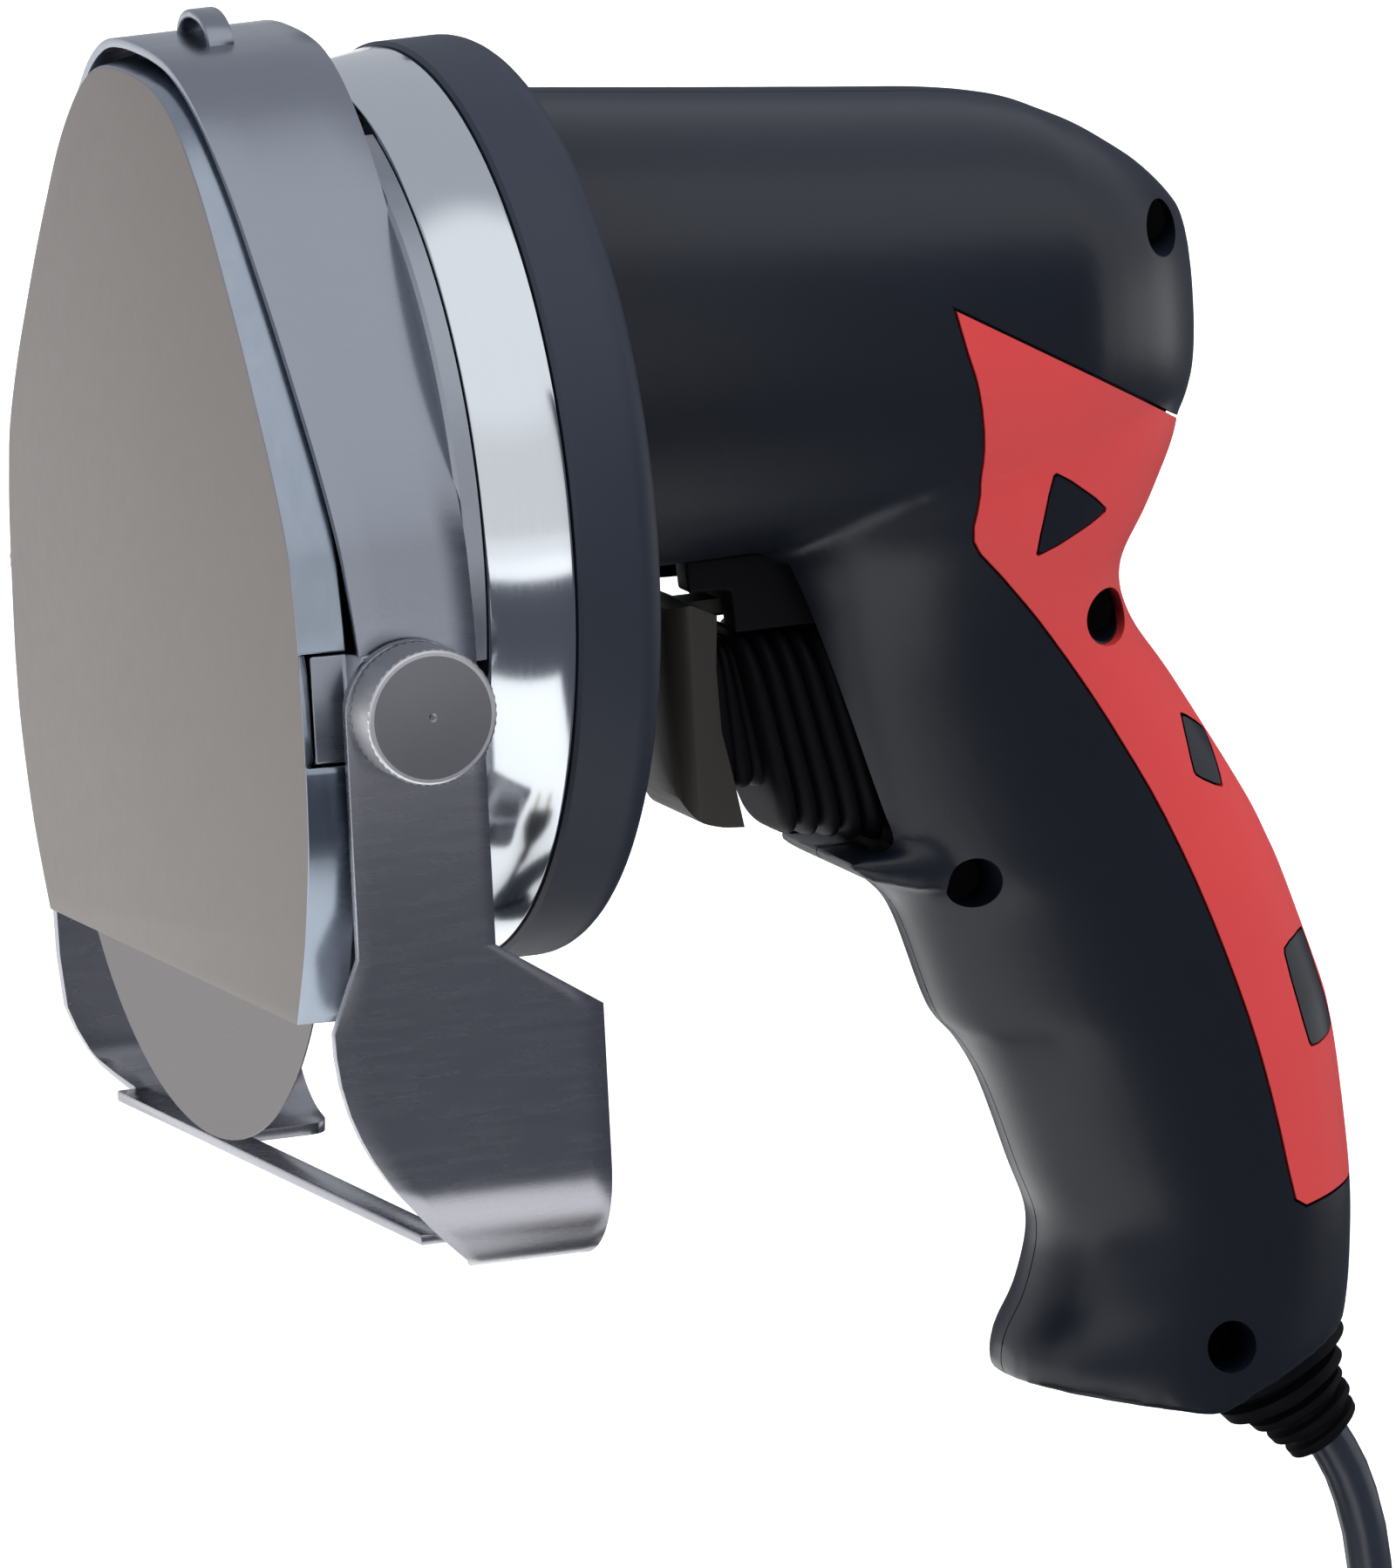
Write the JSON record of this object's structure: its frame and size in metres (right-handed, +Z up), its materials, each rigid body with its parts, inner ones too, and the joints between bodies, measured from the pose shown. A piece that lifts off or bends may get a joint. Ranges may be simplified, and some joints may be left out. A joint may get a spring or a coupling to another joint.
{
  "type": "electric kebab slicer",
  "caption": "Hand-held slicer: round knife under a sheet cover, spur gears, motor barrel with pistol grip, trigger and a sheet guide that sets slice thickness.",
  "frame": {"origin": "middle of the pistol grip, where the hand holds it", "axes": "+Z up along the upright head, -Y out of the cover plate's face towards the meat, +X to the right as seen from the front, so the nodes named right are at +X, on the operator's left"},
  "size_m": [0.1779, 0.1667, 0.264],
  "materials": {
    "brushed_sheet": "brushed sheet steel",
    "satin_band": "satin sheet steel",
    "polished_drum": "polished",
    "turned_steel": "turned and ground",
    "cast_metal": "as cast",
    "gear_steel": "machined",
    "black_plastic": "fine moulded grain",
    "red_rubber": "soft matte",
    "grey_trigger": "fine moulded grain",
    "black_rubber": "matte",
    "copper": "turned copper",
    "carbon": "pressed carbon",
    "brass": "nickel-free brass"
  },
  "bodies": {
    "handle": {"brush_ring": "black_plastic", "cable_clamp": "black_plastic", "carbon_brush_1": "carbon", "carbon_brush_2": "carbon", "case_screw_1": "turned_steel", "case_screw_2": "turned_steel", "case_screw_3": "turned_steel", "coil_tie": "black_rubber", "collar_ring": "black_plastic", "cord_coil": "black_rubber", "cord_stretch": "black_rubber", "cover_plate": "brushed_sheet", "field_stack": "gear_steel", "front_bearing": "turned_steel", "front_case": "cast_metal", "gear_case": "polished_drum", "guard_band": "satin_band", "housing_left": "black_plastic", "housing_right": "black_plastic", "housing_screw_1": "turned_steel", "housing_screw_2": "turned_steel", "housing_screw_3": "turned_steel", "housing_screw_4": "turned_steel", "idler_pin": "turned_steel", "motor_front_bearing": "turned_steel", "motor_rear_bearing": "turned_steel", "plug_body": "black_rubber", "plug_pin_1": "brass", "plug_pin_2": "brass", "rear_bearing": "turned_steel", "soft_grip_left": "red_rubber", "soft_grip_right": "red_rubber", "strain_relief": "black_rubber", "switch_body": "black_plastic", "trigger_boot": "black_rubber", "trigger_pin": "turned_steel"},
    "blade_unit": {"blade": "turned_steel", "blade_screw": "turned_steel", "blade_spindle": "turned_steel", "blade_gear": "gear_steel"},
    "idler": {"idler_gear": "gear_steel"},
    "rotor": {"motor_shaft": "turned_steel", "armature_core": "gear_steel", "commutator": "copper", "cooling_fan": "black_plastic", "pinion": "gear_steel"},
    "trigger": {"trigger": "grey_trigger"},
    "plunger": {"switch_plunger": "grey_trigger"},
    "guide": {"depth_guide": "satin_band"},
    "screw_right": {"thumb_screw_right": "turned_steel"},
    "screw_left": {"thumb_screw_left": "turned_steel"}
  },
  "joints": [
    {"name": "blade_spin", "type": "hinge", "parent": "handle", "child": "blade_unit", "pos_m": [0, -0.1312, 0.05], "axis": [0, 1, 0], "continuous": true},
    {"name": "idler_spin", "type": "hinge", "parent": "handle", "child": "idler", "pos_m": [0, -0.1049, 0.083], "axis": [0, 1, 0], "continuous": true},
    {"name": "rotor_spin", "type": "hinge", "parent": "handle", "child": "rotor", "pos_m": [0, -0.0595, 0.102], "axis": [0, 1, 0], "continuous": true},
    {"name": "trigger_pull", "type": "hinge", "parent": "handle", "child": "trigger", "pos_m": [0, -0.04502, 0.072], "axis": [1, 0, 0], "range_deg": [0, 7], "stiffness_Nm_per_rad": 0.5, "springref_deg": -5.73},
    {"name": "plunger_slide", "type": "slide", "parent": "handle", "child": "plunger", "axis": [0, 1, 0], "range_m": [0, 0.003]},
    {"name": "guide_slide", "type": "slide", "parent": "handle", "child": "guide", "axis": [0, 1, 0], "range_m": [-0.0075, 0]},
    {"name": "thumb_screw_right_turn", "type": "hinge", "parent": "handle", "child": "screw_right", "pos_m": [0.0648, -0.1225, 0.0661], "axis": [1, 0, 0], "continuous": true},
    {"name": "thumb_screw_left_turn", "type": "hinge", "parent": "handle", "child": "screw_left", "pos_m": [-0.0648, -0.1225, 0.0661], "axis": [-1, 0, 0], "continuous": true}
  ],
  "couplings": [
    {"joint": "idler_spin", "follows": "blade_spin", "ratio": -1.5385},
    {"joint": "rotor_spin", "follows": "blade_spin", "ratio": 3.3333},
    {"joint": "plunger_slide", "follows": "trigger_pull", "m_per_rad": 0.024}
  ]
}
